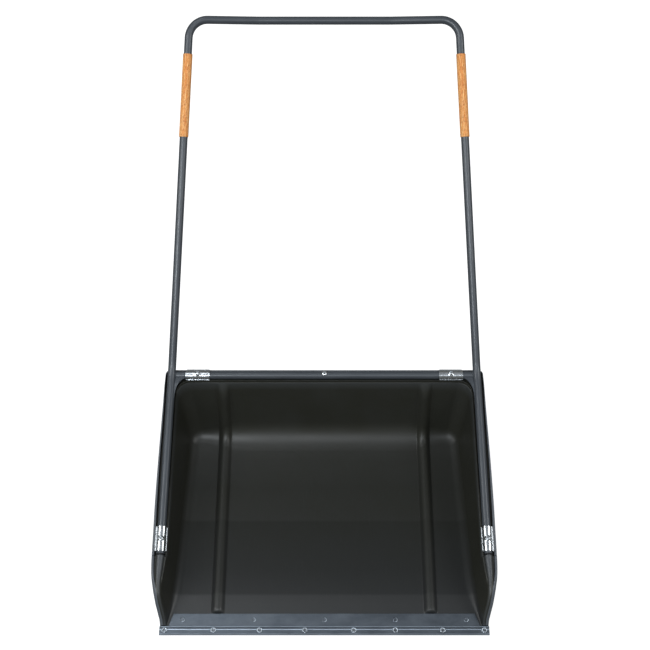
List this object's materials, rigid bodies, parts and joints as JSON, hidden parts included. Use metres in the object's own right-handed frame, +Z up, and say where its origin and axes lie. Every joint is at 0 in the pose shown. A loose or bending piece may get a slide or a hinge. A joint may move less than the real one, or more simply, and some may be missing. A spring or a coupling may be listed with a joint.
{
  "type": "snow scoop",
  "caption": "Push scoop for snow: open moulded tub with a riveted metal cutting edge, clamped to a U-shaped tube handle with a cross tube and two sleeve grips.",
  "frame": {"origin": "on the ground plane under the middle of the tub's flat floor, on the plane of symmetry", "axes": "+X to the right, the cutting edge faces -Y, +Z up"},
  "size_m": [0.7438, 1.2097, 0.6495],
  "materials": {
    "tub_plastic": "black moulded plastic, fine satin grain, slightly glossier on the bends",
    "frame_graphite": "slate grey powder coat, semi-gloss",
    "zinc_hardware": "bright zinc plate",
    "edge_steel": "blue-grey rolled sheet, satin",
    "wear_steel": "ground steel, satin",
    "grip_orange": "orange sleeve with a fleck grain, matte",
    "plug_rubber": "matte"
  },
  "bodies": {
    "root": {"centre_nut": "zinc_hardware", "centre_screw": "zinc_hardware", "centre_washer": "zinc_hardware", "clamp_nut_side_left": "zinc_hardware", "clamp_nut_side_right": "zinc_hardware", "clamp_nut_top_left": "zinc_hardware", "clamp_nut_top_right": "zinc_hardware", "clamp_screw_side_left": "zinc_hardware", "clamp_screw_side_right": "zinc_hardware", "clamp_screw_top_left": "zinc_hardware", "clamp_screw_top_right": "zinc_hardware", "clamp_side_left": "zinc_hardware", "clamp_side_right": "zinc_hardware", "clamp_top_left": "zinc_hardware", "clamp_top_right": "zinc_hardware", "clamp_washer_side_left": "zinc_hardware", "clamp_washer_side_right": "zinc_hardware", "clamp_washer_top_left": "zinc_hardware", "clamp_washer_top_right": "zinc_hardware", "corner_gusset_left": "frame_graphite", "corner_gusset_right": "frame_graphite", "cross_tube": "frame_graphite", "edge_plate": "edge_steel", "edge_rivet_1": "zinc_hardware", "edge_rivet_2": "zinc_hardware", "edge_rivet_3": "zinc_hardware", "edge_rivet_4": "zinc_hardware", "edge_rivet_5": "zinc_hardware", "grip_left": "grip_orange", "grip_right": "grip_orange", "handle_tube": "frame_graphite", "tub": "tub_plastic", "tube_plug_left": "plug_rubber", "tube_plug_right": "plug_rubber", "wear_rivet_1": "zinc_hardware", "wear_rivet_2": "zinc_hardware", "wear_rivet_3": "zinc_hardware", "wear_rivet_4": "zinc_hardware", "wear_rivet_5": "zinc_hardware", "wear_rivet_6": "zinc_hardware", "wear_rivet_7": "zinc_hardware", "wear_rivet_8": "zinc_hardware", "wear_strip": "wear_steel"}
  },
  "joints": []
}
